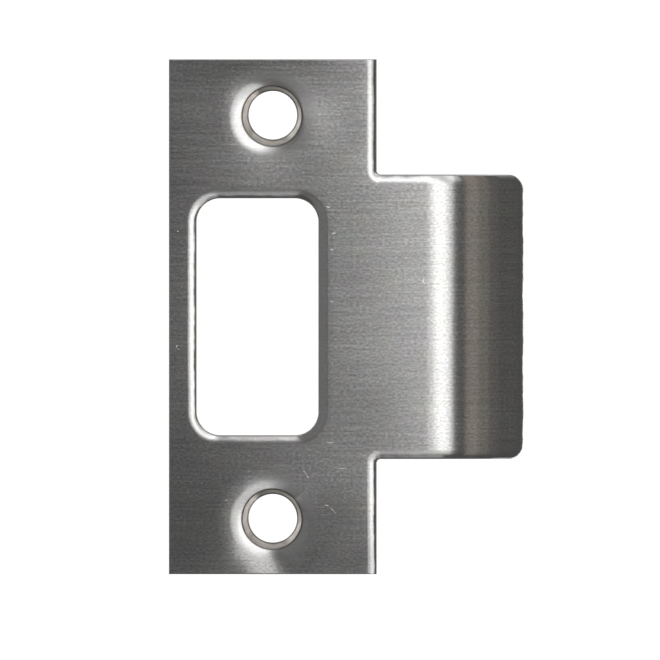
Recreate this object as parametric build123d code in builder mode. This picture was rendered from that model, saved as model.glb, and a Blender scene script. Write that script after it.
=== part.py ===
# Door strike plate with a T outline: a flat plate for the jamb and a lip that curves back.
# One piece, pressed from sheet.
# X runs from the plate towards the lip, Y from the door into the jamb, and Z up the jamb.
# The origin is midway between the two screw holes, on the back face that lies on the jamb.
import os
from math import cos, radians, sin

from build123d import *

# Sheet and outline
thickness = 1.6
plate_height = 69.85
plate_width = 28.2
lip_height = 38.6
lip_reach = 20.2  # square on, from the plate edge to the corner the rolled tip is cut from
notch_corner_radius = 0.55
tip_corner_radius = 2.4

# Curve of the lip, given for its front face
lip_flat = 6.8  # stays flat beyond the plate's edge
lip_bend_radius = 16.5
lip_slope = 37.0  # degrees, from the end of the bend to the tip

# Latch opening
opening_width = 16.5
opening_height = 32.15
opening_corner_radius = 3.2
opening_shift = -2.08  # from the plate's centre line, away from the lip

# Screw holes
hole_pitch = 54.7
hole_diameter = 6.6

# Pressed screw seat: the sheet is drawn in round a cone
seat_diameter = 8.35
seat_angle = 82.0
seat_shift_x = -0.11  # the seat was pressed a little off the pierced hole
seat_shift_z = -0.12
shoulder_radius = 8.5
shoulder_slope = 12.0
seat_rim_radius = 0.3

# Rolled edge where the punch entered, on the front of the opening, the notches and the lip
roll_radius = 3.0
roll_slope = 15.0
roll_rim_radius = 0.42
roll_rim_slope = 70.0

# The other edges of the front are cut off nearly square
edge_break = 0.15

# Derived places
front = -thickness
plate_edge = plate_width / 2
plate_end = plate_height / 2
lip_edge = lip_height / 2
bend_start = plate_edge + lip_flat
bend_run = lip_bend_radius * sin(radians(lip_slope))
bend_drop = lip_bend_radius * (1 - cos(radians(lip_slope)))
ramp_run = lip_reach - lip_flat - bend_run
ramp_length = ramp_run / cos(radians(lip_slope))
roll_rim_run = roll_rim_radius * (sin(radians(roll_rim_slope)) - sin(radians(roll_slope)))
roll_width = roll_radius * sin(radians(roll_slope)) + roll_rim_run
shoulder_run = shoulder_radius * sin(radians(shoulder_slope))
seat_slope = 90 - seat_angle / 2
clear = thickness  # how far a cutter runs past a face
roll_clear = min(notch_corner_radius, opening_corner_radius) / 2  # and past a rolled edge

front_plane = Plane.XZ.offset(thickness)
ramp_plane = Plane(
    origin=(bend_start + bend_run, front + bend_drop, 0),
    x_dir=(cos(radians(lip_slope)), sin(radians(lip_slope)), 0),
    z_dir=(sin(radians(lip_slope)), -cos(radians(lip_slope)), 0),
)


# Section of the metal lost at a rolled edge, drawn where the edge line starts.
# Its x runs into the sheet and its y out of the face; side is 1 for metal on the line's right.
def roll_section(edge_line, face_normal, side=1):
    inward = (edge_line % 0).cross(face_normal) * side
    with BuildSketch(Plane(edge_line @ 0, inward, inward.cross(face_normal))) as section:
        with BuildLine():
            gentle = JernArc((roll_width, 0), (-1, 0), roll_radius, roll_slope)
            rim = JernArc(gentle @ 1, gentle % 1, roll_rim_radius, roll_rim_slope - roll_slope)
            Polyline(
                rim @ 1,
                (-roll_clear, (rim @ 1).Y),
                (-roll_clear, clear),
                (roll_width, clear),
                gentle @ 0,
            )
        make_face()
    return section.sketch


with BuildPart() as strike_plate:
    # Bent sheet
    with BuildSketch() as profile:
        with BuildLine():
            flat = Line((-plate_edge, front), (bend_start, front))
            bend = JernArc(flat @ 1, flat % 1, lip_bend_radius, lip_slope)
            PolarLine(bend @ 1, ramp_length, direction=bend % 1)
            offset(amount=thickness, side=Side.LEFT)
        make_face()
    extrude(amount=plate_end, both=True)

    # Notches above and below the lip
    with BuildSketch(Plane.XZ) as notches:
        with Locations((plate_edge, lip_edge), (plate_edge, -lip_edge - plate_end)):
            Rectangle(plate_height, plate_end, align=(Align.MIN, Align.MIN))
    extrude(amount=plate_height, both=True, mode=Mode.SUBTRACT)

    square_edges = strike_plate.edges().filter_by(Axis.Y)
    fillet(square_edges.sort_by(lambda edge: abs(edge.center().Z))[:2], notch_corner_radius)
    tip_face = strike_plate.faces().sort_by(Axis.X)[-1]
    fillet(tip_face.edges().filter_by(Axis.Z, reverse=True), tip_corner_radius)
    front_edges = strike_plate.faces().sort_by(Axis.Y)[0].edges()
    cut_off = [front_edges.sort_by(Axis.Z)[0], front_edges.sort_by(Axis.Z)[-1], front_edges.sort_by(Axis.X)[0]]
    fillet(cut_off, edge_break)

    # Latch opening, and its rolled edge
    with BuildSketch(front_plane) as opening:
        with Locations((opening_shift, 0)):
            RectangleRounded(opening_width, opening_height, opening_corner_radius)
    extrude(amount=clear * 2, both=True, mode=Mode.SUBTRACT)
    contour = opening.sketch.wire()
    sweep(roll_section(contour, front_plane.z_dir), contour, mode=Mode.SUBTRACT)

    # Rolled edge of the notches and of the lip, one half and then the other
    for side in (1, -1):
        with BuildLine(front_plane) as notch_line:
            FilletPolyline(
                (plate_edge, side * (plate_end + clear)),
                (plate_edge, side * lip_edge),
                (bend_start, side * lip_edge),
                radius=notch_corner_radius,
            )
        notch_path = notch_line.wire()
        sweep(roll_section(notch_path, front_plane.z_dir, side), notch_path, mode=Mode.SUBTRACT)
        with BuildLine(Plane.XY.offset(side * lip_edge)) as bend_line:
            JernArc((bend_start, front), (1, 0), lip_bend_radius, lip_slope)
        bend_path = bend_line.wire()
        sweep(roll_section(bend_path, front_plane.z_dir, side), bend_path, mode=Mode.SUBTRACT)
        with BuildLine(ramp_plane) as tip_line:
            FilletPolyline(
                (0, side * lip_edge),
                (ramp_length, side * lip_edge),
                (ramp_length, 0),
                radius=tip_corner_radius,
            )
        tip_path = tip_line.wire()
        sweep(roll_section(tip_path, ramp_plane.z_dir, side), tip_path, mode=Mode.SUBTRACT)

    # Pierced screw holes
    with BuildSketch(Plane.XZ) as holes:
        with Locations((0, hole_pitch / 2), (0, -hole_pitch / 2)):
            Circle(hole_diameter / 2)
    extrude(amount=clear * 2, both=True, mode=Mode.SUBTRACT)

    # Pressed screw seats, each turned about its own axis
    for level in (hole_pitch / 2, -hole_pitch / 2):
        with BuildSketch(Plane.XY.offset(level + seat_shift_z)) as seat:
            with BuildLine():
                start = (seat_shift_x + seat_diameter / 2 + shoulder_run, front)
                shoulder = JernArc(start, (-1, 0), shoulder_radius, -shoulder_slope)
                rim = JernArc(shoulder @ 1, shoulder % 1, seat_rim_radius, shoulder_slope - seat_slope)
                cone = PolarLine(rim @ 1, hole_diameter / 2, direction=rim % 1)
                Polyline(cone @ 1, (seat_shift_x, front - clear), (start[0], front - clear), start)
            make_face()
        seat_axis = Axis((seat_shift_x, 0, level + seat_shift_z), (0, 1, 0))
        revolve(axis=seat_axis, mode=Mode.SUBTRACT)

    strike_plate.part.label = "strike_plate"

print(strike_plate.part.bounding_box(), strike_plate.part.volume)
print("solids", len(strike_plate.solids()), "faces", len(strike_plate.faces()), "valid", strike_plate.part.is_valid)
os.makedirs("parts", exist_ok=True)
export_step(strike_plate.part, "parts/strike_plate.step")
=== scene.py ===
import math

import bpy
import numpy as np
from mathutils import Matrix, Vector
from mathutils.geometry import delaunay_2d_cdt


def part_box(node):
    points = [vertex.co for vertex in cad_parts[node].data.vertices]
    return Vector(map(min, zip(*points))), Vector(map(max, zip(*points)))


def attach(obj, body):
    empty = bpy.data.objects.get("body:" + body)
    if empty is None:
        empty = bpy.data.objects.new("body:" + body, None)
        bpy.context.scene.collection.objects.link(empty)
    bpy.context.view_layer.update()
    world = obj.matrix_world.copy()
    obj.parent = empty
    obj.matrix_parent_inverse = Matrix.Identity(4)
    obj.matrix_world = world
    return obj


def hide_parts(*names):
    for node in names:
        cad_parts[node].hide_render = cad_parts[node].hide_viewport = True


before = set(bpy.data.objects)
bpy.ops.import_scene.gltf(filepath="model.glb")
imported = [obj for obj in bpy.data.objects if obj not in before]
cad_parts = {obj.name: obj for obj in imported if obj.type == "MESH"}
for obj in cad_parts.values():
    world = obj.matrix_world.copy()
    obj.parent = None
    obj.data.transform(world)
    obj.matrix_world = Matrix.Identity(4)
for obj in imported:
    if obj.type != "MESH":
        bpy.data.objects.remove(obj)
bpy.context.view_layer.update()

lowest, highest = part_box("strike_plate")
mm = 0.001

# The plate is worked out flat, in millimetres, as plan points (s, z): s runs along the front face
# from the plate's middle to the lip's tip, and z up. The sheet is bent last, when s is carried
# round the curve of the lip. Depths are measured down from the flat front face.
plate = {
    "thickness": -lowest[1] / mm,
    "width": -2 * lowest[0] / mm,
    "height": (highest[2] - lowest[2]) / mm,
    "lipHeight": 38.6,
    "lipFlat": 6.8,            # beyond the plate's edge, before the curve
    "lipReach": 20.2,          # square on, to the corner that the rolled tip is cut from
    "bendRadius": 16.5,
    "bendAngle": math.radians(37.0),
    "notchCorner": 0.55,
    "tipCorner": 2.4,
    "openingWidth": 16.5,
    "openingHeight": 32.15,
    "openingCorner": 3.2,
    "openingShift": -2.08,
}
plateEdge = plate["width"] / 2
plateEnd = plate["height"] / 2
lipEdge = plate["lipHeight"] / 2
bendStart = plateEdge + plate["lipFlat"]
bendRun = plate["bendRadius"] * math.sin(plate["bendAngle"])
bendLength = plate["bendRadius"] * plate["bendAngle"]
rampLength = (plate["lipReach"] - plate["lipFlat"] - bendRun) / math.cos(plate["bendAngle"])
tipEnd = bendStart + bendLength + rampLength
print("sheet: developed length", round(tipEnd + plateEdge, 2), "mm")


def arcDrop(x, radius):
    # how far a circle falls below its tangent: radius - sqrt(radius^2 - x^2)
    return radius - np.sqrt(np.maximum(radius**2 - x**2, 0.0))


def twoArcDrop(x, wideRadius, firstTurn, tightRadius, lastTurn):
    # a wide arc until it has turned so far, then a tight one from there on; level before x = 0
    change = wideRadius * np.sin(firstTurn)
    start, end = tightRadius * np.sin(firstTurn), tightRadius * np.sin(lastTurn)
    wide = arcDrop(np.clip(x, 0, change), wideRadius)
    tight = arcDrop(np.clip(x - change, 0, end - start) + start, tightRadius) - arcDrop(start, tightRadius)
    return wide + tight


edge = {
    "rollRadius": 4.2,
    "rollTurn": math.radians(16.0),
    "rimRadius": 0.25,
    "rimTurn": math.radians(85.0),
    "breakRadius": 0.15,       # on the edges that are cut off
    "leadRadius": 130.0,       # the sheet starts to dip this gently
    "leadWidth": 2.2,
    "uneven": 0.14,            # share by which the roll deepens here and there
}
rimRun = edge["rimRadius"] * (math.sin(edge["rimTurn"]) - math.sin(edge["rollTurn"]))
rollWidth = edge["rollRadius"] * math.sin(edge["rollTurn"]) + rimRun


def roundedBox(s, z, halfWide, halfHigh, corner):
    # signed distance outside a rectangle with round corners
    across, up = np.abs(s) - (halfWide - corner), np.abs(z) - (halfHigh - corner)
    return np.hypot(np.maximum(across, 0), np.maximum(up, 0)) + np.minimum(np.maximum(across, up), 0) - corner


def rolledDistance(plan):
    # distance in from the nearest of the notches, the lip's outline and the opening
    s, z = plan[..., 0], plan[..., 1]
    corner = plate["notchCorner"]
    besideNotch = np.maximum(plateEdge + corner - s, 0)
    notch = np.hypot(besideNotch, np.maximum(lipEdge + corner - np.abs(z), 0)) - corner
    tip = np.where(s > bendStart, -roundedBox(s, z, tipEnd, lipEdge, plate["tipCorner"]), np.inf)
    halfWide, halfHigh = plate["openingWidth"] / 2, plate["openingHeight"] / 2
    opening = roundedBox(s - plate["openingShift"], z, halfWide, halfHigh, plate["openingCorner"])
    return np.minimum(np.minimum(notch, tip), opening)


def cutDistance(plan):
    # distance in from the top, the bottom and the left edge
    return np.minimum(plateEnd - np.abs(plan[..., 1]), plan[..., 0] + plateEdge)


seat = {
    "pitch": 54.7,
    "holeRadius": 3.3,
    "radius": 4.175,
    "coneSlope": math.radians(49.0),
    "shift": (-0.11, -0.12),   # the seat was pressed a little off the pierced hole
    "shoulderRadius": 12.7,
    "shoulderTurn": math.radians(8.0),
    "leastTurn": math.radians(1.0),
    "upperDeep": math.radians(195.0),          # where the sheet was drawn in most
    "lowerDeep": math.radians(222.0),
    "upperFade": 0.7,          # the lower, the further round the seat the drawing in goes
    "lowerFade": 0.35,
    "leadRadius": 60.0,        # round the shoulder the sheet starts to dip this gently
    "leadReach": 7.3,
    "rimRadius": 0.3,
}


def seatOffset(plan):
    # from the axis of the nearer screw seat
    centreZ = np.sign(plan[..., 1]) * seat["pitch"] / 2 + seat["shift"][1]
    return plan[..., 0] - seat["shift"][0], plan[..., 1] - centreZ


def seatReach(plan):
    return np.hypot(*seatOffset(plan))


def drawnShare(angle, level):
    # 1 on the deep side and 0 across from it: half of 1 + cosine, to a power that broadens it
    deepSide = np.where(level > 0, seat["upperDeep"], seat["lowerDeep"])
    fade = np.where(level > 0, seat["upperFade"], seat["lowerFade"])
    return ((1 + np.cos(angle - deepSide)) / 2) ** fade


def shoulderTurn(angle, level):
    return seat["leastTurn"] + (seat["shoulderTurn"] - seat["leastTurn"]) * drawnShare(angle, level)


def seatDepth(plan):
    # a gentle start, shoulder and rim as two arcs, and then the straight cone, round the seat's axis
    across, up = seatOffset(plan)
    reach, angle = np.hypot(across, up), np.arctan2(up, across)
    turn = shoulderTurn(angle, plan[..., 1])
    inside = np.clip(seat["leadReach"] - reach, 0, seat["leadReach"] - seat["radius"])
    lead = drawnShare(angle, plan[..., 1]) * arcDrop(inside, seat["leadRadius"])
    start = seat["radius"] + seat["shoulderRadius"] * np.sin(turn)
    drawn = twoArcDrop(start - reach, seat["shoulderRadius"], turn, seat["rimRadius"], seat["coneSlope"])
    coneStart = seat["radius"] - seat["rimRadius"] * (math.sin(seat["coneSlope"]) - np.sin(turn))
    return lead + drawn + np.maximum(coneStart - reach, 0) * math.tan(seat["coneSlope"])


waves = [                      # height, radians turned per millimetre of s and of z, and at the start
    (0.25, 0.83, 0.61, 1.0),
    (0.15, 1.9, -1.37, 0.0),
    (0.1, 2.9, 3.7, 0.0),
]


def unevenness(plan):
    # slow waves that cross each other, from 0 to 1: a half, and height x sin(byS s + byZ z + start) of each
    s, z = plan[..., 0], plan[..., 1]
    return sum((height * np.sin(byS * s + byZ * z + start) for height, byS, byZ, start in waves), 0.5)


def frontDepth(plan):
    # rolled edge, its gentle start, broken edge and screw seat, each by its distance in
    inset = np.maximum(rolledDistance(plan), 0)
    rolled = twoArcDrop(
        rollWidth - inset, edge["rollRadius"], edge["rollTurn"], edge["rimRadius"], edge["rimTurn"]
    )
    lead = arcDrop(np.clip(edge["leadWidth"] - inset, 0, edge["leadWidth"]), edge["leadRadius"])
    cut = np.clip(edge["breakRadius"] - cutDistance(plan), 0, edge["breakRadius"])
    broken = arcDrop(cut, edge["breakRadius"])
    rolled = rolled * (1 + edge["uneven"] * unevenness(plan)) + lead
    return np.maximum(rolled, broken) + seatDepth(plan)


def bendSheet(s):
    # straight, then an arc, then straight: x and y of the front line, and its direction
    turn = np.clip((s - bendStart) / plate["bendRadius"], 0, plate["bendAngle"])
    ramp = np.maximum(s - bendStart - bendLength, 0)
    x = np.minimum(s, bendStart) + plate["bendRadius"] * np.sin(turn) + ramp * np.cos(turn)
    y = -plate["thickness"] + plate["bendRadius"] * (1 - np.cos(turn)) + ramp * np.sin(turn)
    return x, y, np.cos(turn), np.sin(turn)


def placePoints(plan, depth):
    # the point at a depth below the flat front, square to the bent sheet
    x, y, alongX, alongY = bendSheet(plan[..., 0])
    return np.stack([x - alongY * depth, y + alongX * depth, plan[..., 1]], axis=-1)


def faceNormals(plan, slopeS=0.0, slopeZ=0.0):
    # the sheet's own normal, tipped back by the slopes of the depth
    alongX, alongY = bendSheet(plan[..., 0])[2:]
    rise = np.broadcast_to(slopeZ, alongX.shape)
    normal = np.stack([alongY + slopeS * alongX, -alongX + slopeS * alongY, rise], axis=-1)
    return normal / np.linalg.norm(normal, axis=-1, keepdims=True)


def frontNormals(plan):
    # slopes from the depths a thousandth of a millimetre either way
    small = 1e-3
    stepS, stepZ = np.array([small, 0]), np.array([0, small])
    slopeS = (frontDepth(plan + stepS) - frontDepth(plan - stepS)) / (2 * small)
    slopeZ = (frontDepth(plan + stepZ) - frontDepth(plan - stepZ)) / (2 * small)
    return faceNormals(plan, slopeS, slopeZ)


class Surface:
    # gathers grids of points and their faces into one closed mesh

    def __init__(self):
        self.plans = []
        self.points = []
        self.count = 0
        self.faces = []
        self.normals = []
        self.uvs = []
        self.slots = []
        self.seams = []        # for each strip: inner plan points, and their numbers on front and back

    def addPoints(self, plan, depth):
        index = self.count + np.arange(depth.size).reshape(depth.shape)
        self.plans.append(plan.reshape(-1, 2))
        self.points.append(placePoints(plan, depth).reshape(-1, 3))
        self.count += depth.size
        return index

    def addFaces(self, index, normals, uvs, slot):
        # a normal and a place in the finish for each corner of each face
        self.faces.append(index)
        self.normals.append(normals.reshape(-1, 3))
        self.uvs.append(uvs.reshape(-1, 2))
        self.slots.append(np.full(len(index), slot))


def cellCorners(grid):
    # the four corners of each cell of rows that close on themselves, wound to face out of the metal
    ahead = np.roll(grid, -1, axis=1)
    cells = np.stack([grid[:-1], grid[1:], ahead[1:], ahead[:-1]], axis=2)
    return cells.reshape(-1, *cells.shape[2:])


mesh = {
    "step": 0.35,              # along an edge
    "stripWidth": 1.36,        # how far the finer mesh reaches in from an edge
    "cornerColumns": 9,        # at least, round a corner
    "cornerReach": 3.0,        # how far from a sharp corner its columns lean away from it
    "rollRows": 9,             # over the wide arc of a rolled edge
    "rimRows": 13,             # and over the tight one
    "wallRows": 9,
    "backRows": 5,
    "hair": 2e-3,              # inside an edge, where its slope is read
    "seatColumns": 144,
    "seatStrip": 6.0,          # outer radius of the rings round a seat
    "shoulderRings": 12,
    "seatRimRings": 9,
    "coneRings": 11,
    "fillStep": 0.6,
    "fillGap": 0.45,           # between the last strip and the fill
    "stripSlack": 1e-3,        # how far a fill triangle's middle may lie over a strip
    "ringSlack": 1e-2,         # and how far outside the rings it has to, as their sides are straight
    "joinWithin": 1e-7,        # points nearer than this are one
}
wall = {
    "burnished": 0.45,         # share of the wall that the punch left smooth
    "tear": 0.05,              # how far the torn part draws back
    "tearRun": 0.3,            # share of the wall over which it does
    "tearCurve": 1.5,          # the higher, the later it starts
}


def contour(corners):
    # closed line round corners (s, z, radius), with the metal on its left: each radius is an arc
    # tangent to both lines, and even steps lead to the next. Gives its points, the direction into
    # the metal before and after each, and a lean that carries columns away from sharp corners
    here, radii = np.array(corners)[:, :2], np.array(corners)[:, 2]
    run = np.roll(here, -1, axis=0) - here
    length = np.linalg.norm(run, axis=1)
    leaving = run / length[:, None]
    arriving = np.roll(leaving, 1, axis=0)
    quarter = np.array([[0, 1], [-1, 0]])      # turns a direction to its left
    turns = np.arctan2(((arriving @ quarter) * leaving).sum(axis=1), (arriving * leaving).sum(axis=1))
    reach = radii * np.tan(np.abs(turns) / 2)
    spots, before, after, lean = [], [], [], []
    for i, (turn, radius) in enumerate(zip(turns, radii)):
        into, onward = arriving[i] @ quarter, leaving[i] @ quarter
        if radius:
            columns = math.ceil(radius * abs(turn) / mesh["step"] * 2)
            angles = np.linspace(0, turn, max(mesh["cornerColumns"], columns))[:, None]
            side = math.copysign(radius, turn)
            inward = into * np.cos(angles) + into @ quarter * np.sin(angles)
            spots.append(here[i] - arriving[i] * reach[i] + (into - inward) * side)
            before.append(inward)
            after.append(inward)
        else:
            spots.append(here[i:i + 1])
            before.append(into[None])
            after.append(onward[None])
        lean.append(np.zeros_like(before[-1]))
        following = (i + 1) % len(radii)
        straight = length[i] - reach[i] - reach[following]
        past = np.linspace(0, straight, math.ceil(straight / mesh["step"]) + 1)[1:-1, None]
        spots.append(here[i] + leaving[i] * (reach[i] + past))
        before.append(np.repeat(onward[None], len(past), axis=0))
        after.append(before[-1])
        push = (radius == 0) * np.maximum(1 - past / mesh["cornerReach"], 0)
        pull = (radii[following] == 0) * np.maximum(1 - (straight - past) / mesh["cornerReach"], 0)
        lean.append(leaving[i] * (push - pull))
    return [np.concatenate(part) for part in (spots, before, after, lean)]


def mitred(before, after):
    # the mean direction, lengthened so that it moves both lines in by one
    middle = (before + after) / 2
    return middle / (middle**2).sum(axis=1, keepdims=True)


def carryProfile(surface, spots, before, after, inner, seatFrom=None):
    # the profile carried along an edge: rows in to out on the front (inner), the wall down to the
    # back, and rows in again; from row seatFrom on, the front is the seat's cone
    middle = mitred(before, after)
    down = np.linspace(0, 1, mesh["wallRows"])[1:, None]
    torn = wall["tear"] * np.clip((down - wall["burnished"]) / wall["tearRun"], 0, 1) ** wall["tearCurve"]
    wallPlan = spots + middle * torn[..., None]
    inward = np.linspace(0, 1, mesh["backRows"])[1:, None, None]
    backPlan = wallPlan[-1] + (inner[0] - wallPlan[-1]) * inward
    innerDepth = frontDepth(inner)
    wallDepth = innerDepth[-1] + (plate["thickness"] - innerDepth[-1]) * down
    depth = np.concatenate([innerDepth, wallDepth, np.full(backPlan.shape[:2], plate["thickness"])])
    index = surface.addPoints(np.concatenate([inner, wallPlan, backPlan]), depth)
    edgeRow = len(inner) - 1
    backRow = edgeRow + len(wallPlan)
    around = np.concatenate([[0], np.cumsum(np.linalg.norm(np.diff(spots, axis=0), axis=1))])

    # the edge's own normal is read a hair inside it, where the slope is whole
    readAt = inner.copy()
    readAt[-1] = readAt[-1] + middle * mesh["hair"]
    normals = frontNormals(readAt)
    split = len(inner) if seatFrom is None else seatFrom + 1
    frontFaces = cellCorners(index[:split])
    surface.addFaces(frontFaces, cellCorners(normals[:split]), cellCorners(inner[:split]), "front")
    if seatFrom is not None:
        reach = seatReach(inner[seatFrom:])
        places = np.stack([np.broadcast_to(around, reach.shape), reach], axis=-1)
        coneFaces = cellCorners(index[seatFrom:edgeRow + 1])
        surface.addFaces(coneFaces, cellCorners(normals[seatFrom:]), closeLoop(places, around), "seat")

    # the wall faces away from the metal on either side of a sharp corner
    wallSpots = np.concatenate([inner[-1:], wallPlan])
    alongX, alongY = bendSheet(wallSpots[..., 0])[2:]
    outBefore, outAfter = [
        np.stack(np.broadcast_arrays(-into[:, 0] * alongX, -into[:, 0] * alongY, -into[:, 1]), axis=-1)
        for into in (before, after)
    ]
    ahead = np.roll(outBefore, -1, axis=1)
    wallNormals = np.stack([outAfter[:-1], outAfter[1:], ahead[1:], ahead[:-1]], axis=2)
    places = np.stack([np.broadcast_to(around, wallSpots.shape[:2]), depth[edgeRow:backRow + 1]], axis=-1)
    surface.addFaces(cellCorners(index[edgeRow:backRow + 1]), wallNormals, closeLoop(places, around), "wall")

    backSpots = np.concatenate([wallPlan[-1:], backPlan])
    surface.addFaces(
        cellCorners(index[backRow:]), -faceNormals(cellCorners(backSpots)), cellCorners(backSpots), "back"
    )
    surface.seams.append((inner[0], index[0], index[-1]))


def closeLoop(places, around):
    # the last column ends a step past the first one's start, and not back at it
    corners = cellCorners(places).reshape(len(places) - 1, -1, 4, 2)
    corners[:, -1, 2:, 0] = around[-1] + mesh["step"]
    return corners


def profileRows():
    # distances in from an edge, closest where the rolled edge turns most
    wideTurn = np.linspace(0, edge["rollTurn"], mesh["rollRows"])
    tightTurn = np.linspace(edge["rollTurn"], edge["rimTurn"], mesh["rimRows"])[1:]
    wide = rollWidth - edge["rollRadius"] * np.sin(wideTurn)
    tight = wide[-1] - edge["rimRadius"] * (np.sin(tightTurn) - math.sin(edge["rollTurn"]))
    return np.concatenate([[mesh["stripWidth"]], wide, np.maximum(tight, 0)])


def edgeRows(corners):
    # rows that follow an outline inwards, mitred at its sharp corners
    spots, before, after, lean = contour(corners)
    inner = spots + (mitred(before, after) + lean) * profileRows()[:, None, None]
    return spots, before, after, inner


def seatRings(level):
    # rings round a seat's axis: the shoulder, the rim, and the cone out to the hole, whose centre
    # lies a little off that axis
    angles = -np.linspace(0, 2 * math.pi, mesh["seatColumns"], endpoint=False)
    outward = np.stack([np.cos(angles), np.sin(angles)], axis=-1)
    shift = np.array(seat["shift"])
    toward = outward @ shift
    holeReach = np.sqrt(toward**2 + seat["holeRadius"] ** 2 - shift @ shift) - toward
    turn = shoulderTurn(angles, level)
    shoulder = np.sin(turn) - np.sin(turn * np.linspace(0, 1, mesh["shoulderRings"])[:, None])
    rimShare = np.linspace(0, 1, mesh["seatRimRings"])[1:, None]
    rim = np.sin(turn + (seat["coneSlope"] - turn) * rimShare) - np.sin(turn)
    rings = np.concatenate([
        np.full((1, len(turn)), mesh["seatStrip"]),
        seat["radius"] + seat["shoulderRadius"] * shoulder,
        seat["radius"] - seat["rimRadius"] * rim,
    ])
    cone = rings[-1] + (holeReach - rings[-1]) * np.linspace(0, 1, mesh["coneRings"])[1:, None]
    inner = np.array([0, level]) + shift + outward * np.concatenate([rings, cone])[..., None]
    into = inner[-1] - np.array([0, level])
    into = into / np.linalg.norm(into, axis=1, keepdims=True)
    return inner[-1], into, into, inner, len(shoulder)


def fillFaces(surface):
    # an even lattice between the strips, joined to their inner lines by the fewest long triangles
    step = mesh["fillStep"]
    s, z = np.meshgrid(np.arange(-plateEdge, tipEnd, step), np.arange(-plateEnd, plateEnd, step))
    s = s + step / 2 * (np.arange(len(s))[:, None] % 2)
    lattice = np.stack([s.ravel(), z.ravel()], axis=-1)
    pastStrip = np.minimum(rolledDistance(lattice), cutDistance(lattice)) - mesh["stripWidth"]
    clear = np.minimum(pastStrip, seatReach(lattice) - mesh["seatStrip"])
    lattice = lattice[clear > mesh["fillGap"]]
    lines = [line for line, front, back in surface.seams]
    starts = np.cumsum([0] + [len(line) for line in lines[:-1]])
    pairs = np.concatenate([
        start + np.stack([np.arange(len(line)), np.roll(np.arange(len(line)), -1)], axis=-1)
        for line, start in zip(lines, starts)
    ])
    flat = np.concatenate(lines + [lattice])
    triangles = np.array(delaunay_2d_cdt(flat.tolist(), pairs.tolist(), [], 0, mesh["joinWithin"])[2])
    middle = flat[triangles].mean(axis=1)
    inside = np.minimum(rolledDistance(middle), cutDistance(middle)) > mesh["stripWidth"] - mesh["stripSlack"]
    inside &= seatReach(middle) > mesh["seatStrip"] + mesh["ringSlack"]
    triangles = triangles[inside]
    frontLattice = surface.addPoints(lattice, frontDepth(lattice))
    backLattice = surface.addPoints(lattice, np.full(len(lattice), plate["thickness"]))
    frontIndex = np.concatenate([front for line, front, back in surface.seams] + [frontLattice])
    backIndex = np.concatenate([back for line, front, back in surface.seams] + [backLattice])
    turned = triangles[:, ::-1]
    surface.addFaces(frontIndex[triangles], frontNormals(flat)[triangles], flat[triangles], "front")
    surface.addFaces(backIndex[turned], -faceNormals(flat)[turned], flat[turned], "back")


def buildMesh(name, surface, slotNames):
    # the gathered arrays as one mesh, with its normals and its places in the finish. Each point also
    # gets three distances: in from the nearest edge or rim, in from the nearest rolled edge, and out
    # from the nearer screw seat
    corners = np.concatenate([faces.ravel() for faces in surface.faces])
    sizes = np.concatenate([np.full(len(faces), faces.shape[1]) for faces in surface.faces])
    plan = np.concatenate(surface.plans)
    data = bpy.data.meshes.new(name)
    data.vertices.add(surface.count)
    data.vertices.foreach_set("co", np.concatenate(surface.points).ravel() * mm)
    data.loops.add(len(corners))
    data.loops.foreach_set("vertex_index", corners.astype(np.int32))
    data.polygons.add(len(sizes))
    data.polygons.foreach_set("loop_start", (np.cumsum(sizes) - sizes).astype(np.int32))
    data.polygons.foreach_set("loop_total", sizes.astype(np.int32))
    slots = np.concatenate(surface.slots)
    numbers = np.select([slots == slot for slot in slotNames], range(len(slotNames)))
    data.polygons.foreach_set("material_index", numbers.astype(np.int32))
    data.polygons.foreach_set("use_smooth", np.ones(len(sizes), dtype=bool))
    data.update(calc_edges=True)
    data.uv_layers.new(name="finish").uv.foreach_set("vector", np.concatenate(surface.uvs).ravel() * mm)
    hole = np.abs(np.hypot(plan[:, 0], np.abs(plan[:, 1]) - seat["pitch"] / 2) - seat["holeRadius"])
    outline = np.minimum(rolledDistance(plan), cutDistance(plan))
    inset = np.minimum(np.minimum(outline, hole), np.abs(seatReach(plan) - seat["radius"]))
    drawn = seatReach(plan) - seat["radius"]
    for measure, values in (("inset", inset), ("rolled", rolledDistance(plan)), ("drawn", drawn)):
        data.attributes.new(measure, "FLOAT", "POINT").data.foreach_set("value", np.maximum(values, 0) * mm)
    data.normals_split_custom_set(np.concatenate(surface.normals).tolist())
    piece = bpy.data.objects.new(name, data)
    bpy.context.scene.collection.objects.link(piece)
    print(name, surface.count, "points,", int((sizes - 2).sum()), "triangles")
    return piece


surface = Surface()
carryProfile(surface, *edgeRows([
    (-plateEdge, plateEnd, 0), (-plateEdge, -plateEnd, 0), (plateEdge, -plateEnd, 0),
    (plateEdge, -lipEdge, plate["notchCorner"]), (tipEnd, -lipEdge, plate["tipCorner"]),
    (tipEnd, lipEdge, plate["tipCorner"]), (plateEdge, lipEdge, plate["notchCorner"]),
    (plateEdge, plateEnd, 0),
]))
openingLeft = plate["openingShift"] - plate["openingWidth"] / 2
openingRight = plate["openingShift"] + plate["openingWidth"] / 2
openingEnd, openingCorner = plate["openingHeight"] / 2, plate["openingCorner"]
carryProfile(surface, *edgeRows([
    (openingLeft, -openingEnd, openingCorner), (openingLeft, openingEnd, openingCorner),
    (openingRight, openingEnd, openingCorner), (openingRight, -openingEnd, openingCorner),
]))
for level in (seat["pitch"] / 2, -seat["pitch"] / 2):
    carryProfile(surface, *seatRings(level))
fillFaces(surface)

slotNames = ["front", "seat", "wall", "back"]
pressedPlate = buildMesh("pressed_plate", surface, slotNames)
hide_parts("strike_plate")
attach(pressedPlate, "root")


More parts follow.
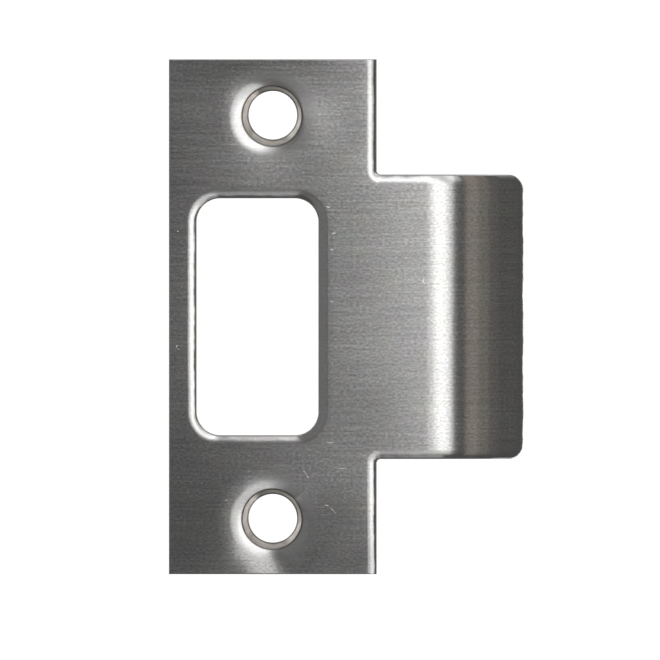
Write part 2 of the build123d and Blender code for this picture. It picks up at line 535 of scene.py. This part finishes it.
class Finish:
    # one material, with short calls for its nodes; patterns are laid out in metres of flat sheet

    def __init__(self, name, **sockets):
        self.material = bpy.data.materials.new(name)
        self.material.use_nodes = True
        self.tree = self.material.node_tree
        self.shader = self.tree.nodes["Principled BSDF"]
        self.shader.inputs["Metallic"].default_value = 1.0
        for socket, value in sockets.items():
            self.shader.inputs[socket.replace("_", " ")].default_value = value
        self.place = self.add("UVMap", {}, uv_map="finish")
        self.along = self.add("Tangent", {}, direction_type="UV_MAP", uv_map="finish")
        self.shine("Tangent", self.along)

    def add(self, kind, inputs, output=0, **settings):
        # a node with its settings; an input is a value or another node's output
        node = self.tree.nodes.new("ShaderNode" + kind)
        for setting, value in settings.items():
            setattr(node, setting, value)
        for socket, value in inputs.items():
            if isinstance(value, bpy.types.NodeSocket):
                self.tree.links.new(value, node.inputs[socket])
            else:
                node.inputs[socket].default_value = value
        return node.outputs[output]

    def shine(self, socket, value):
        self.tree.links.new(value, self.shader.inputs[socket])

    def noise(self, across, up, detail=2.0, offset=0.0):
        # noise whose grains are 1 / across by 1 / up metres; an offset takes another part of it
        inputs = {"Vector": self.place, "Location": (offset, offset, offset), "Scale": (across, up, 1)}
        spot = self.add("Mapping", inputs)
        return self.add("TexNoise", {"Vector": spot, "Scale": 1.0, "Detail": detail})

    def between(self, value, low, high, toLow, toHigh):
        inputs = {"Value": value, "From Min": low, "From Max": high, "To Min": toLow, "To Max": toHigh}
        return self.add("MapRange", inputs, interpolation_type="SMOOTHSTEP")

    def calculate(self, operation, first, second):
        return self.add("Math", {0: first, 1: second}, operation=operation)

    def scaled(self, vector, amount):
        return self.add("VectorMath", {0: vector, "Scale": amount}, operation="SCALE")

    def sum(self, first, second):
        return self.add("VectorMath", {0: first, 1: second}, operation="ADD")

    def gain(self, noise, strength):
        # 1 + strength x (noise - 0.5), since a noise lies round a half
        return self.add("Math", {0: noise, 1: strength, 2: 1 - strength / 2}, operation="MULTIPLY_ADD")

    def centred(self, noise, strength):
        # strength x (noise - 0.5)
        return self.calculate("MULTIPLY", self.calculate("SUBTRACT", noise, 0.5), strength)

    def mixed(self, share, first, second):
        # from the first colour to the second, which are inputs 6 and 7 of a colour Mix
        return self.add("Mix", {"Factor": share, 6: first, 7: second}, 2, data_type="RGBA")

    def tip(self, alongAmount, acrossAmount):
        # the normal, tipped along the grain and across it by so many radians
        normal = self.add("NewGeometry", {}, "Normal")
        across = self.add("VectorMath", {0: normal, 1: self.along}, operation="CROSS_PRODUCT")
        tipped = self.sum(normal, self.scaled(self.along, alongAmount))
        tipped = self.sum(tipped, self.scaled(across, acrossAmount))
        return self.add("VectorMath", {0: tipped}, operation="NORMALIZE")


grainTurn = 0.25               # of a whole turn: the brushed steel is rougher across its grain
brushed = {
    "colour": (0.6, 0.595, 0.585, 1),
    "roughness": 0.2085,
    "roughVary": 0.12,
    "anisotropy": 0.68,
    "burnish": 0.6,            # share of the roughness left where the punch rolled the edge
    "burnishWidth": 1.3,       # millimetres in from a rolled edge
    "longGrain": (130, 3000),  # grains to a metre, along s and up z
    "shortGrain": (2300, 3700),
    "broadGrain": (14, 260),
    "streaks": 0.46,           # how strongly the long grain lightens and darkens the steel
    "speckle": 0.98,           # and the short grain
    "broadShare": 0.4,         # the broad grain's strength, as a share of the long grain's
    "hueGrain": (260, 340),
    "hueShare": 0.05,          # how much of a wandering colour is mixed in
    "tipAlong": 0.004,         # radians that the short grain tips the steel
    "tipAcross": 0.02,         # and the long grain
    "calm": 0.3,               # share of the grain left where the punch pressed the steel
    "calmRoll": (0.6, 1.9),    # millimetres in from a rolled edge over which the grain comes back
    "calmSeat": (0.9, 2.6),    # and out from a screw seat
    "rimShadeWidth": 0.14,          # millimetres in from an edge over which the steel is darkened: painted shade for the dark line along each rim
    "rimShadeTone": 0.7,
    "paintedShadeFrom": (1.5, 4.0),   # millimetres out from a screw seat over which the painted shade comes in
    "nickCore": 0.35,          # share of a nick that has its full depth
    "nickTip": 0.09,
}
swells = [                     # s, z, half width, half height, radians that the steel tips towards +s there
    (17.0, -38.0, 26.0, 24.0, -0.04), (-3.0, 38.0, 16.0, 8.0, -0.03), (-0.9, -36.6, 4.0, 6.6, 0.085),
    (6.5, 27.0, 5.0, 7.0, 0.015), (-15.0, -30.0, 14.0, 20.0, -0.02), (8.0, -27.0, 5.0, 6.0, -0.015),
    (-2.0, 21.0, 9.0, 7.0, 0.018), (-3.2, -32.2, 5.0, 4.3, 0.05), (-0.8, -23.2, 4.5, 2.1, 0.052),
    (-4.6, 30.4, 3.4, 3.0, 0.018), (3.2, -33.0, 3.6, 4.0, -0.03), (12.5, -14.2, 12.0, 10.0, -0.0095),
    (-13.5, -13.0, 5.0, 10.0, -0.025), (-9.0, 35.0, 8.0, 5.0, -0.025), (5.0, -31.5, 5.0, 6.0, -0.018),
    (-2.2, 30.8, 2.4, 1.5, 0.03),
]
paintedShades = [                     # painted shade, darker patches: s, z, half width, half height, share by which the steel's tone changes
    (-9.0, -28.0, 22.0, 22.0, -0.3), (12.0, -35.0, 12.0, 12.0, -0.2), (2.0, 37.0, 26.0, 18.0, -0.22),
    (-15.0, 22.0, 8.0, 22.0, -0.14),
]
nicks = [                      # millimetres on the flat sheet: s, z, length, width, degrees turned
    (7.5, 14.9, 0.7, 0.16, -12), (8.2, 11.3, 0.6, 0.2, 10), (8.0, 9.1, 0.5, 0.14, 0),
    (8.0, 2.1, 0.5, 0.16, 20), (20.4, 4.9, 0.9, 0.2, 70), (20.6, 4.5, 0.5, 0.16, 20),
    (-13.0, -4.0, 0.6, 0.16, 55), (-12.8, -4.4, 0.5, 0.15, -30), (-12.9, 11.6, 0.35, 0.2, 0),
    (7.8, -17.1, 1.8, 0.12, 0), (9.3, -20.6, 1.4, 0.12, 2), (4.4, -21.15, 0.9, 0.13, -48),
    (4.75, -21.75, 0.7, 0.12, -72), (-6.3, -24.9, 0.7, 0.14, 0), (7.3, -25.6, 0.8, 0.14, -8),
    (8.2, -26.3, 1.8, 0.1, -48),
]


def markDistance(finish, marks):
    # for each mark an ellipse, 0 in its middle and 1 at its rim, and the least of them all
    nearest = None
    for s, z, length, width, turned in marks:
        inputs = {
            "Vector": finish.place,
            "Location": (s * mm, z * mm, 0),
            "Rotation": (0, 0, math.radians(turned)),
            "Scale": (length / 2 * mm, width / 2 * mm, 1),
        }
        local = finish.add("Mapping", inputs, vector_type="TEXTURE")
        distance = finish.add("VectorMath", {0: local}, "Value", operation="LENGTH")
        nearest = distance if nearest is None else finish.calculate("MINIMUM", nearest, distance)
    return nearest


def spotSum(finish, spots):
    # amounts that each fade out smoothly from the middle of an ellipse, added up
    total = 0.0
    for s, z, wide, tall, amount in spots:
        inputs = {"Vector": finish.place, "Location": (s * mm, z * mm, 0), "Scale": (wide * mm, tall * mm, 1)}
        local = finish.add("Mapping", inputs, vector_type="TEXTURE")
        distance = finish.add("VectorMath", {0: local}, "Value", operation="LENGTH")
        total = finish.calculate("ADD", finish.between(distance, 0.0, 1.0, amount, 0.0), total)
    return total


def fading(finish, measure, span, share):
    # from a share to 1, over a span of millimetres in one of the mesh's distances
    return finish.between(measure, span[0] * mm, span[1] * mm, share, 1.0)


def brushedFront():
    # fine horizontal grain that lightens and tips the steel, with nicks, and painted shade as darker rims and
    # patches
    finish = Finish(
        "brushedFront", Base_Color=brushed["colour"], Anisotropic=brushed["anisotropy"],
        Anisotropic_Rotation=grainTurn,
    )
    rolled = finish.add("Attribute", {}, "Fac", attribute_name="rolled")
    drawn = finish.add("Attribute", {}, "Fac", attribute_name="drawn")
    inset = finish.add("Attribute", {}, "Fac", attribute_name="inset")
    calm = finish.calculate(
        "MULTIPLY", fading(finish, rolled, brushed["calmRoll"], brushed["calm"]),
        fading(finish, drawn, brushed["calmSeat"], brushed["calm"]),
    )
    grains = finish.noise(*brushed["longGrain"]), finish.noise(*brushed["shortGrain"], offset=3.0)
    longGrain, shortGrain = [finish.add("Mix", {"Factor": calm, 2: 0.5, 3: grain}) for grain in grains]
    broad = finish.noise(*brushed["broadGrain"], offset=7.0)

    # tone: the three grains, the painted shade of the dark rims and of the broad patches, multiplied
    tone = finish.calculate(
        "MULTIPLY", finish.gain(longGrain, brushed["streaks"]), finish.gain(shortGrain, brushed["speckle"])
    )
    tone = finish.calculate("MULTIPLY", tone, finish.gain(broad, brushed["streaks"] * brushed["broadShare"]))
    # painted shade: the steel darker along every edge and rim
    rim = fading(finish, inset, (0.0, brushed["rimShadeWidth"]), brushed["rimShadeTone"])
    tone = finish.calculate("MULTIPLY", tone, rim)
    # painted shade: broad darker patches, fading out near the screw seats
    clearOfSeat = fading(finish, drawn, brushed["paintedShadeFrom"], 0.0)
    paintedShade = finish.calculate("MULTIPLY", spotSum(finish, paintedShades), clearOfSeat)
    tone = finish.calculate("MULTIPLY", tone, finish.calculate("ADD", paintedShade, 1.0))
    hue = finish.add("Mapping", {"Vector": finish.place, "Scale": (*brushed["hueGrain"], 1)})
    hue = finish.add("TexNoise", {"Vector": hue, "Scale": 1.0, "Detail": 1.0}, "Color")
    tint = finish.mixed(brushed["hueShare"], brushed["colour"], hue)
    finish.shine("Base Color", finish.scaled(tint, tone))

    burnished = fading(finish, rolled, (0.0, brushed["burnishWidth"]), brushed["burnish"])
    rough = finish.calculate("MULTIPLY", finish.gain(longGrain, brushed["roughVary"]), burnished)
    finish.shine("Roughness", finish.calculate("MULTIPLY", rough, brushed["roughness"]))

    # tips: the short grain, the nicks and the swells along it, and the long grain across it
    nick = finish.between(markDistance(finish, nicks), brushed["nickCore"], 1.0, 1.0, 0.0)
    sideways = finish.centred(shortGrain, brushed["tipAlong"])
    sideways = finish.add("Math", {0: nick, 1: brushed["nickTip"], 2: sideways}, operation="MULTIPLY_ADD")
    sideways = finish.calculate("ADD", sideways, spotSum(finish, swells))
    finish.shine("Normal", finish.tip(sideways, finish.centred(longGrain, brushed["tipAcross"])))
    return finish.material


coined = {
    "roughness": 0.36,
    "warmer": (0.82, 0.76, 0.74, 1),
    "paler": (0.82, 0.8, 0.73, 1),
    "mottleGrain": (900, 1500),    # grains to a metre, round the cone and up it
    "ringGrain": (30, 9000),
    "mottle": 0.8,
    "rings": 0.3,
    "rimShadeSpan": (0.08, 0.26),       # millimetres in from a rim over which it comes out of the painted shade
    "rimShadeTone": 0.25,
    "tipAlong": 0.2,
}


def coinedSeat():
    # pressed smooth by the punch, mottled, with painted shade as a dark line at the rim and at the hole
    finish = Finish("coinedSeat", Roughness=coined["roughness"])
    mottle, rings = finish.noise(*coined["mottleGrain"]), finish.noise(*coined["ringGrain"], offset=2.0)
    tone = finish.calculate(
        "MULTIPLY", finish.gain(mottle, coined["mottle"]), finish.gain(rings, coined["rings"])
    )
    inset = finish.add("Attribute", {}, "Fac", attribute_name="inset")
    # painted shade: darker along the seat's rim and the hole's edge
    tone = finish.calculate("MULTIPLY", tone, fading(finish, inset, coined["rimShadeSpan"], coined["rimShadeTone"]))
    tint = finish.mixed(mottle, coined["warmer"], coined["paler"])
    finish.shine("Base Color", finish.scaled(tint, tone))
    finish.shine("Normal", finish.tip(finish.centred(mottle, coined["tipAlong"]), 0.0))
    return finish.material


sheared = {
    "colour": (0.56, 0.55, 0.53),
    "roughness": (0.28, 0.55),     # where it is smooth, and where it is torn
    "streakGrain": (5200, 120),    # grains to a metre, along the wall and down it
    "gritGrain": (6000, 5000),
    "tornSpan": (0.8, 1.05),       # millimetres down over which the smooth part ends
    "tornTone": 0.72,
    "streaks": 0.7,
    "streakTip": 0.35,
}


def shearedWall():
    # upright streaks from the punch, smooth above and torn below
    finish = Finish("shearedWall")
    streaks = finish.noise(*sheared["streakGrain"])
    grit = finish.noise(*sheared["gritGrain"], detail=4.0, offset=4.0)
    depth = finish.add("SeparateXYZ", {"Vector": finish.place}, "Y")
    torn = fading(finish, depth, sheared["tornSpan"], 0.0)
    tornTone = finish.between(torn, 0.0, 1.0, 1.0, sheared["tornTone"])
    tone = finish.calculate("MULTIPLY", finish.gain(streaks, sheared["streaks"]), tornTone)
    finish.shine("Base Color", finish.scaled(sheared["colour"], tone))
    finish.shine("Roughness", finish.between(torn, 0.0, 1.0, *sheared["roughness"]))
    gritTip = finish.centred(grit, torn)
    finish.shine("Normal", finish.tip(finish.centred(streaks, sheared["streakTip"]), gritTip))
    return finish.material


milled = {
    "colour": (0.5, 0.495, 0.485),
    "anisotropy": 0.35,
    "roughness": (0.36, 0.46),     # between scuffs, and on them
    "bandGrain": (9, 700),         # grains to a metre, along s and up z
    "rollGrain": (260, 3600),
    "scuffGrain": (130, 110),
    "bands": 0.35,
    "rolls": 0.45,
    "scuffs": 0.22,
    "scuffSpan": (0.35, 0.65),     # levels of the noise over which it becomes a scuff
    "tipAcross": 0.2,
}


def milledBack():
    # the sheet as it came from the rolls, duller, with soft bands and faint scuffs
    finish = Finish("milledBack", Anisotropic=milled["anisotropy"], Anisotropic_Rotation=grainTurn)
    bands, rolls = finish.noise(*milled["bandGrain"]), finish.noise(*milled["rollGrain"], offset=5.0)
    scuffs = finish.noise(*milled["scuffGrain"], detail=5.0, offset=9.0)
    tone = finish.calculate(
        "MULTIPLY", finish.gain(bands, milled["bands"]), finish.gain(rolls, milled["rolls"])
    )
    tone = finish.calculate("MULTIPLY", tone, finish.gain(scuffs, milled["scuffs"]))
    finish.shine("Base Color", finish.scaled(milled["colour"], tone))
    finish.shine("Roughness", finish.between(scuffs, *milled["scuffSpan"], *milled["roughness"]))
    finish.shine("Normal", finish.tip(0.0, finish.centred(rolls, milled["tipAcross"])))
    return finish.material


for material in (brushedFront(), coinedSeat(), shearedWall(), milledBack()):
    pressedPlate.data.materials.append(material)
print("finishes:", ", ".join(slotNames))

# camera: square on and far off, as in the photograph
view = {
    "frameWidth": 89.55,       # millimetres across the picture, at the plate
    "lens": 1600.0,
    "centreX": 7.757,
    "centreZ": -1.80,
    "sightEnd": 20,            # metres
}
camera = bpy.data.objects.new("camera", bpy.data.cameras.new("camera"))
camera.data.lens = view["lens"]
camera.data.clip_end = view["sightEnd"]
distance = view["frameWidth"] * mm * view["lens"] / camera.data.sensor_width
camera.location = (view["centreX"] * mm, -distance - plate["thickness"] * mm, view["centreZ"] * mm)
camera.rotation_euler = (math.pi / 2, 0, 0)
bpy.context.scene.collection.objects.link(camera)
bpy.context.scene.camera = camera

studio = {
    "floorLevel": -0.3,
    "floorReach": 0.9,
    "floorColour": (0.82, 0.82, 0.81, 1),
    "floorRoughness": 0.9,
    "white": 1.05,             # what the camera sees behind the plate
    "dim": 0.1,                # what the steel sees where there is no light
}
reach, level = studio["floorReach"], studio["floorLevel"]
floorMesh = bpy.data.meshes.new("floor")
floorCorners = [(x * reach, y * reach, level) for x, y in ((-1, -1), (1, -1), (1, 1), (-1, 1))]
floorMesh.from_pydata(floorCorners, [], [(0, 1, 2, 3)])
floor = bpy.data.objects.new("floor", floorMesh)
bpy.context.scene.collection.objects.link(floor)
paint = bpy.data.materials.new("palePaint")
paint.use_nodes = True
paintShader = paint.node_tree.nodes["Principled BSDF"]
paintShader.inputs["Base Color"].default_value = studio["floorColour"]
paintShader.inputs["Roughness"].default_value = studio["floorRoughness"]
floorMesh.materials.append(paint)
floor.visible_glossy = False

world = bpy.data.worlds.new("studio")
bpy.context.scene.world = world
world.use_nodes = True
nodes, links = world.node_tree.nodes, world.node_tree.links
nodes["Background"].inputs["Color"].default_value = (studio["dim"], studio["dim"], studio["dim"], 1)
backdrop = nodes.new("ShaderNodeBackground")
backdrop.inputs["Color"].default_value = (studio["white"], studio["white"], studio["white"], 1)
path, mix = nodes.new("ShaderNodeLightPath"), nodes.new("ShaderNodeMixShader")
links.new(path.outputs["Is Camera Ray"], mix.inputs["Fac"])
links.new(nodes["Background"].outputs["Background"], mix.inputs[1])
links.new(backdrop.outputs["Background"], mix.inputs[2])
links.new(mix.outputs["Shader"], nodes["World Output"].inputs["Surface"])
bpy.context.scene.view_settings.view_transform = "Standard"

# degrees right of the camera and above it, degrees wide, tall and leaning, metres off, brightness, colour
white, warm, amber = (1.0, 1.0, 1.0), (1.0, 0.96, 0.92), (1.0, 0.89, 0.72)
cards = {
    "key": (17, 10, 26, 66, -3, 0.28, 0.82, white),
    "keyDown": (12, -33, 16, 18, 0, 0.28, 0.3, white),
    "keyUpSide": (33, 28, 10, 24, 0, 0.28, 0.5, white),
    "keyMiddle": (15, 8.4, 13.5, 38.8, 24.5, 0.28, 0.9, white),
    "keyCore": (16, 5, 9, 20, 15, 0.28, 0.15, white),
    "keyTop": (3, 25, 11, 20, 0, 0.28, 1.0, white),
    "keyLow": (1, -18, 8, 14, 0, 0.28, 0.45, white),
    "above": (25, 50, 60, 20, 0, 0.45, 0.45, white),
    "top": (10, 80, 90, 34, 0, 0.45, 0.5, white),
    "left": (-98, 20, 30, 64, 0, 0.45, 1.1, white),
    "leftLow": (-101, -40, 40, 40, 0, 0.45, 0.3, white),
    "leftFront": (-26, 8, 40, 56, 0, 0.45, 0.12, white),
    "right": (113, -14, 12, 84, 0, 0.45, 2.8, warm),
    "rightTop": (104, 42, 46, 36, 0, 0.45, 0.2, warm),
    "rightFront": (46, 6, 12, 60, 0, 0.45, 0.21, amber),
    "rightSide": (57, 8, 12, 60, 0, 0.45, 0.12, amber),
    "rightEdge": (68, 8, 14, 60, 0, 0.45, 0.045, amber),
    "rightBack": (150, -5, 50, 70, 0, 0.45, 0.3, white),
    "under": (0, -70, 90, 50, 0, 0.25, 0.05, white),
    "topBack": (180, 75, 90, 30, 0, 0.45, 0.3, warm),
    "behind": (180, 20, 70, 60, 0, 0.45, 0.5, white),
}


def softCard(name, bearing, height, wide, tall, lean, away, brightness, colour):
    # a flat rectangle of light that faces the plate; its power is pi x area x brightness
    data = bpy.data.lights.new(name, "AREA")
    data.shape = "RECTANGLE"
    data.size = 2 * away * math.tan(math.radians(wide / 2))
    data.size_y = 2 * away * math.tan(math.radians(tall / 2))
    data.energy = math.pi * data.size * data.size_y * brightness
    data.color = colour
    lamp = bpy.data.objects.new(name, data)
    turn, lift = math.radians(bearing), math.radians(height)
    outward = Vector((math.sin(turn) * math.cos(lift), -math.cos(turn) * math.cos(lift), math.sin(lift)))
    lamp.location = outward * away
    facing = Matrix.Rotation(turn, 3, "Z") @ Matrix.Rotation(math.pi / 2 - lift, 3, "X")
    lamp.rotation_euler = (facing @ Matrix.Rotation(math.radians(lean), 3, "Z")).to_euler()
    lamp.visible_camera = False
    bpy.context.scene.collection.objects.link(lamp)


for name, values in cards.items():
    softCard(name, *values)
print("studio:", len(cards), "soft cards")
